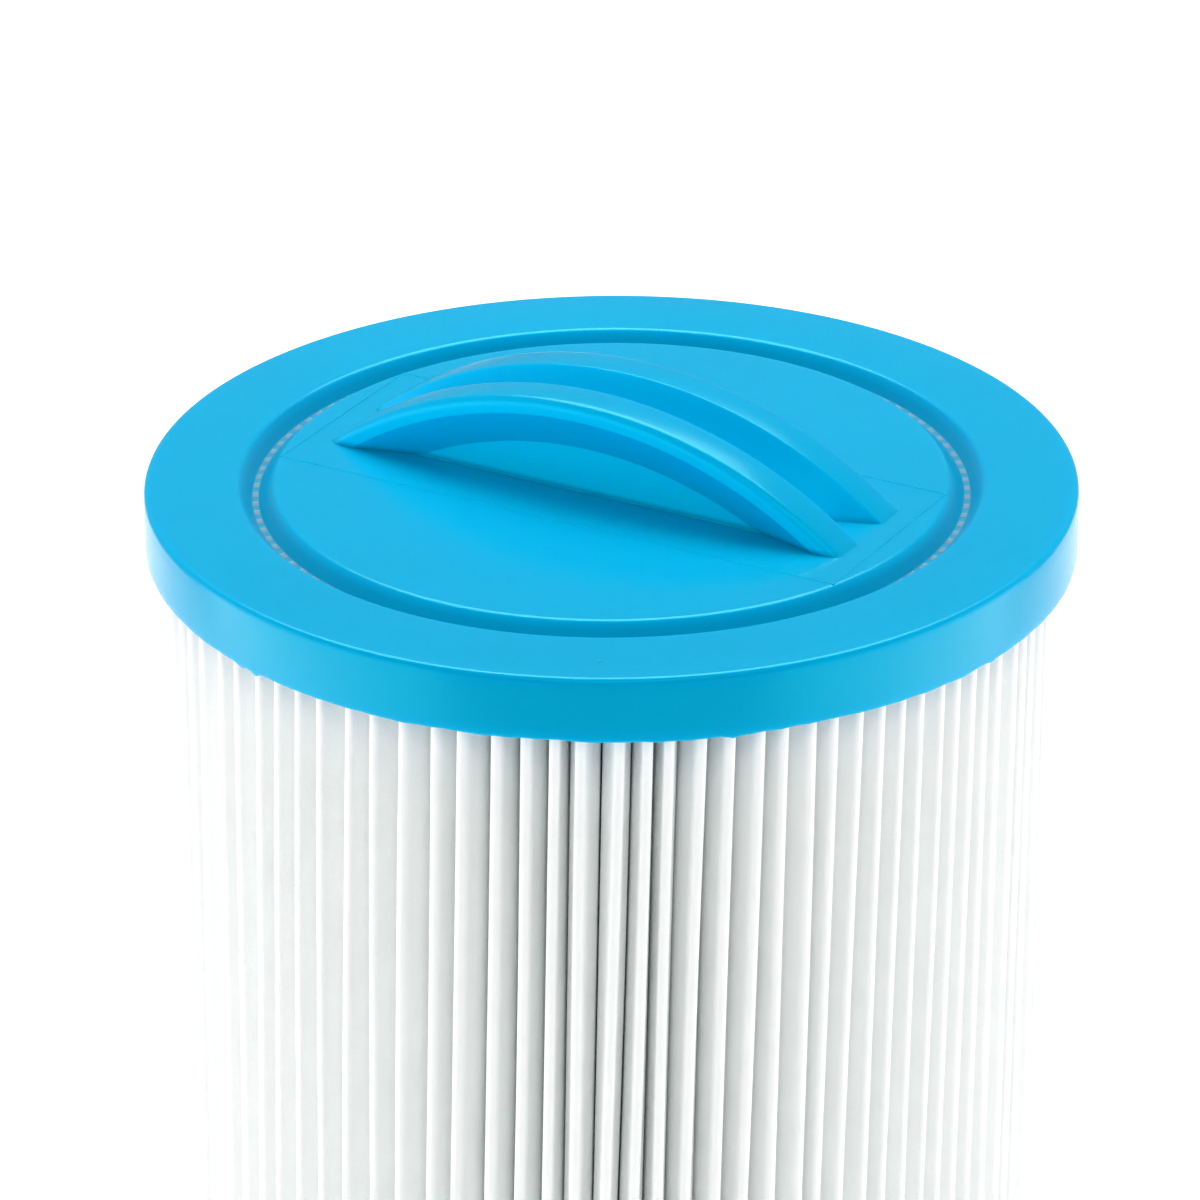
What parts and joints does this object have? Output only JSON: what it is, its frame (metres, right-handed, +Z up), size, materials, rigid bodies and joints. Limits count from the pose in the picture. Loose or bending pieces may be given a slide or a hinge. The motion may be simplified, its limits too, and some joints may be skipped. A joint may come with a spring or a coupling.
{
  "type": "filter cartridge",
  "caption": "Closed-top pleated filter cartridge for a spa, with a half-moon handle moulded on its top cap and a coarse-threaded outlet below.",
  "frame": {"origin": "on the axis, in the underside of the bottom end cap, which seats when the outlet is screwed home", "axes": "+Z up along the cartridge's axis, from the outlet to the handle; X along the handle"},
  "size_m": [0.15, 0.15, 0.2467],
  "materials": {
    "cast_cap": "cast polyurethane, semi-gloss",
    "filter_cloth": "spun-bonded polyester, matt",
    "seam_glue": "hot-melt glue, cloudy",
    "core_plastic": "moulded, satin",
    "outlet_plastic": "moulded, semi-gloss"
  },
  "bodies": {
    "root": {"top_end_cap": "cast_cap", "bottom_end_cap": "cast_cap", "pleated_media": "filter_cloth", "media_seam": "seam_glue", "core_top_section": "core_plastic", "core_middle_section": "core_plastic", "core_bottom_section": "core_plastic", "threaded_outlet": "outlet_plastic"}
  },
  "joints": []
}
